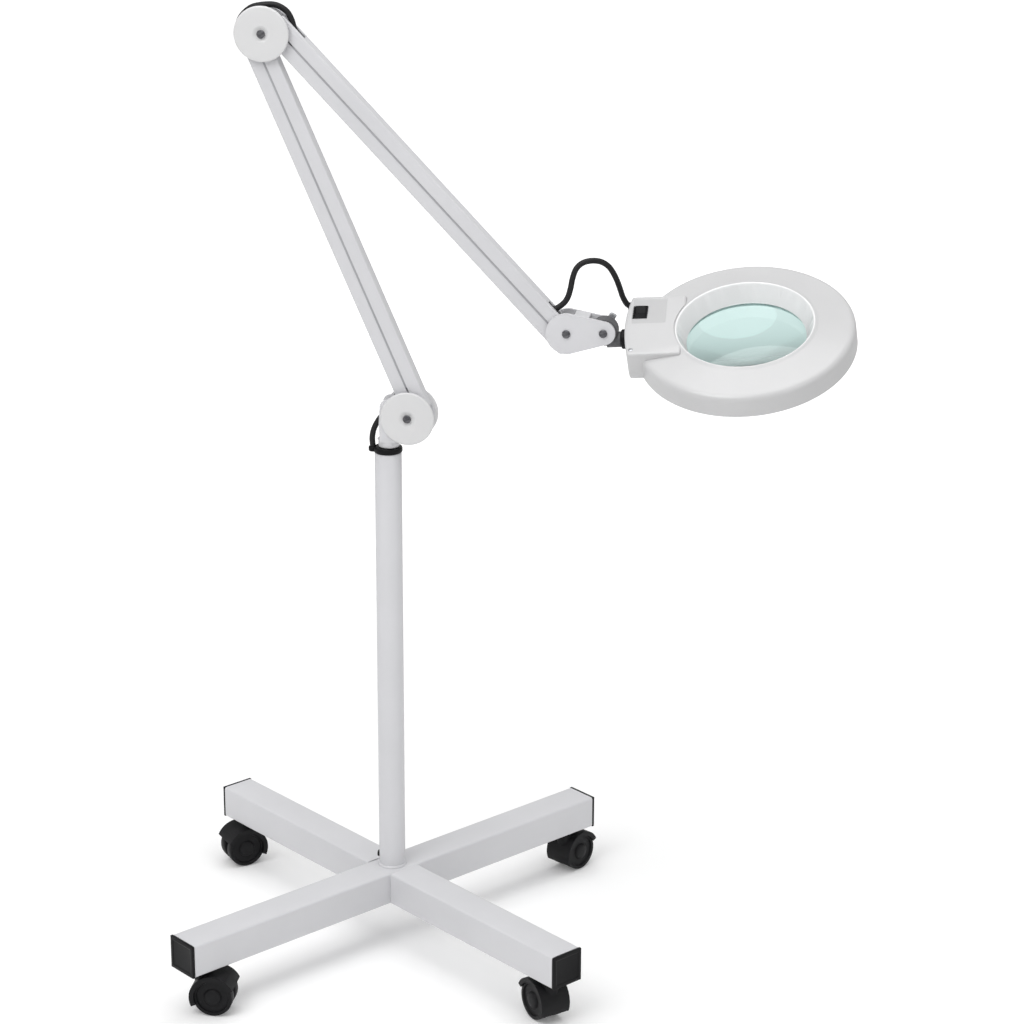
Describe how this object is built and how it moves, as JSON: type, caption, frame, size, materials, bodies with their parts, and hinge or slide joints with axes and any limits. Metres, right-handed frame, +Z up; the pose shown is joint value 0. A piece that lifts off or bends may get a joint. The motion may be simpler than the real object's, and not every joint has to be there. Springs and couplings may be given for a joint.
{
  "type": "magnifying lamp",
  "caption": "Floor-standing magnifying lamp: cross base on casters, round pole, balanced double arm with channels that keep parallel, and a ring light head round a lens.",
  "frame": {"origin": "on the floor, under the middle of the outline", "axes": "+Z up; the arm folds in the XZ plane, and the head points along +X"},
  "size_m": [0.7104, 0.461, 1.0186],
  "materials": {
    "white_powder_coat": "satin powder coat",
    "white_plastic": "satin moulded",
    "black_plastic": "moulded",
    "black_nylon_wheel": "moulded",
    "black_rubber": "matte",
    "zinc_steel": "zinc plated",
    "lens_glass": "clear, faintly green",
    "diffuser": "opal"
  },
  "bodies": {
    "base": {"beam_long": "white_powder_coat", "beam_short_front": "white_powder_coat", "beam_short_rear": "white_powder_coat", "end_cap_1": "black_plastic", "end_cap_2": "black_plastic", "end_cap_3": "black_plastic", "end_cap_4": "black_plastic", "pole": "white_powder_coat", "base_bolt": "zinc_steel", "lead_grommet": "black_rubber"},
    "caster_1": {"caster_fork_1": "black_plastic"},
    "wheels_1": {"wheel_1a": "black_nylon_wheel", "wheel_1b": "black_nylon_wheel"},
    "caster_2": {"caster_fork_2": "black_plastic"},
    "wheels_2": {"wheel_2a": "black_nylon_wheel", "wheel_2b": "black_nylon_wheel"},
    "caster_3": {"caster_fork_3": "black_plastic"},
    "wheels_3": {"wheel_3a": "black_nylon_wheel", "wheel_3b": "black_nylon_wheel"},
    "caster_4": {"caster_fork_4": "black_plastic"},
    "wheels_4": {"wheel_4a": "black_nylon_wheel", "wheel_4b": "black_nylon_wheel"},
    "yoke": {"pole_bushing": "black_plastic", "swivel_yoke": "white_powder_coat", "base_cover_front": "white_plastic", "base_cover_rear": "white_plastic", "base_cover_screw": "zinc_steel", "shoulder_pin_outer": "zinc_steel", "shoulder_pin_inner": "zinc_steel"},
    "lower_inner": {"lower_channel_inner": "white_powder_coat", "cable_low": "black_rubber"},
    "lower_outer": {"lower_channel_outer": "white_powder_coat", "lower_spring": "zinc_steel"},
    "elbow": {"elbow_frame": "white_powder_coat", "elbow_cover_front": "white_plastic", "elbow_cover_rear": "white_plastic", "elbow_screw": "zinc_steel", "elbow_pin_lower_outer": "zinc_steel", "elbow_pin_lower_inner": "zinc_steel", "elbow_pin_upper_outer": "zinc_steel", "elbow_pin_upper_inner": "zinc_steel", "cable_elbow": "black_rubber"},
    "upper_outer": {"upper_channel_outer": "white_powder_coat", "cable_head": "black_rubber"},
    "upper_inner": {"upper_channel_inner": "white_powder_coat", "upper_spring": "zinc_steel"},
    "bracket": {"head_bracket": "white_powder_coat", "bracket_screw": "zinc_steel", "wrist_pin_inner": "zinc_steel", "tilt_bolt": "zinc_steel"},
    "knob": {"wing_knob": "zinc_steel"},
    "knuckle": {"tilt_knuckle": "black_plastic"},
    "head": {"neck_stem": "black_plastic", "head_shell": "white_plastic", "light_window": "diffuser", "lens": "lens_glass", "lens_ring": "white_plastic", "lamp_tube": "diffuser", "driver_box": "zinc_steel"},
    "rocker": {"rocker_switch": "black_plastic"}
  },
  "joints": [
    {"name": "caster_swivel_1", "type": "hinge", "parent": "base", "child": "caster_1", "pos_m": [0.04024, 0.19267, 0.05], "axis": [0, 0, 1], "continuous": true},
    {"name": "caster_spin_1", "type": "hinge", "parent": "caster_1", "child": "wheels_1", "pos_m": [0.04695, 0.20261, 0.021], "axis": [-0.829, 0.5592, 0], "continuous": true},
    {"name": "caster_swivel_2", "type": "hinge", "parent": "base", "child": "caster_2", "pos_m": [-0.31749, 0.16011, 0.05], "axis": [0, 0, 1], "continuous": true},
    {"name": "caster_spin_2", "type": "hinge", "parent": "caster_2", "child": "wheels_2", "pos_m": [-0.3272, 0.15306, 0.021], "axis": [0.5878, -0.809, 0], "continuous": true},
    {"name": "caster_swivel_3", "type": "hinge", "parent": "base", "child": "caster_3", "pos_m": [-0.28494, -0.19762, 0.05], "axis": [0, 0, 1], "continuous": true},
    {"name": "caster_spin_3", "type": "hinge", "parent": "caster_3", "child": "wheels_3", "pos_m": [-0.27294, -0.19762, 0.021], "axis": [0, 1, 0], "continuous": true},
    {"name": "caster_swivel_4", "type": "hinge", "parent": "base", "child": "caster_4", "pos_m": [0.07279, -0.16507, 0.05], "axis": [0, 0, 1], "continuous": true},
    {"name": "caster_spin_4", "type": "hinge", "parent": "caster_4", "child": "wheels_4", "pos_m": [0.06508, -0.15587, 0.021], "axis": [-0.766, -0.6428, 0], "continuous": true},
    {"name": "arm_swivel", "type": "hinge", "parent": "base", "child": "yoke", "pos_m": [-0.12235, -0.00248, 0.56], "axis": [0, 0, 1], "range_deg": [-150, 150]},
    {"name": "lower_arm", "type": "hinge", "parent": "yoke", "child": "lower_inner", "pos_m": [-0.10192, -0.00248, 0.60944], "axis": [0, 1, 0], "range_deg": [-7, 65], "deforming": ["cable_low"]},
    {"name": "lower_arm_outer", "type": "hinge", "parent": "yoke", "child": "lower_outer", "pos_m": [-0.08498, -0.00248, 0.60796], "axis": [0, 1, 0], "range_deg": [-7, 65]},
    {"name": "elbow_level", "type": "hinge", "parent": "lower_inner", "child": "elbow", "pos_m": [-0.25728, -0.00248, 0.97369], "axis": [0, 1, 0], "range_deg": [-65, 7], "deforming": ["cable_elbow"]},
    {"name": "upper_arm", "type": "hinge", "parent": "elbow", "child": "upper_outer", "pos_m": [-0.22501, -0.00248, 0.99891], "axis": [0, -1, 0], "range_deg": [-7, 75], "deforming": ["cable_head"]},
    {"name": "upper_arm_inner", "type": "hinge", "parent": "elbow", "child": "upper_inner", "pos_m": [-0.23042, -0.00248, 0.98279], "axis": [0, -1, 0], "range_deg": [-7, 75]},
    {"name": "bracket_level", "type": "hinge", "parent": "upper_outer", "child": "bracket", "pos_m": [0.06356, -0.00248, 0.69375], "axis": [0, -1, 0], "range_deg": [-75, 7]},
    {"name": "head_tilt", "type": "hinge", "parent": "bracket", "child": "knuckle", "pos_m": [0.10106, -0.00248, 0.69595], "axis": [0, -1, 0], "range_deg": [-60, 60]},
    {"name": "head_roll", "type": "hinge", "parent": "knuckle", "child": "head", "pos_m": [0.10185, -0.00248, 0.68638], "axis": [0.9966, 0, 0.0819], "range_deg": [-110, 65]},
    {"name": "knob_turn", "type": "hinge", "parent": "bracket", "child": "knob", "pos_m": [0.10106, -0.00248, 0.69595], "axis": [0, 1, 0], "range_deg": [-180, 0]},
    {"name": "switch_rock", "type": "hinge", "parent": "head", "child": "rocker", "pos_m": [0.13543, 0.01516, 0.70992], "axis": [0.9966, 0, 0.0819], "range_deg": [-14, 0]}
  ],
  "couplings": [
    {"joint": "lower_arm_outer", "follows": "lower_arm", "ratio": 1},
    {"joint": "elbow_level", "follows": "lower_arm", "ratio": -1},
    {"joint": "upper_arm_inner", "follows": "upper_arm", "ratio": 1},
    {"joint": "bracket_level", "follows": "upper_arm", "ratio": -1}
  ]
}
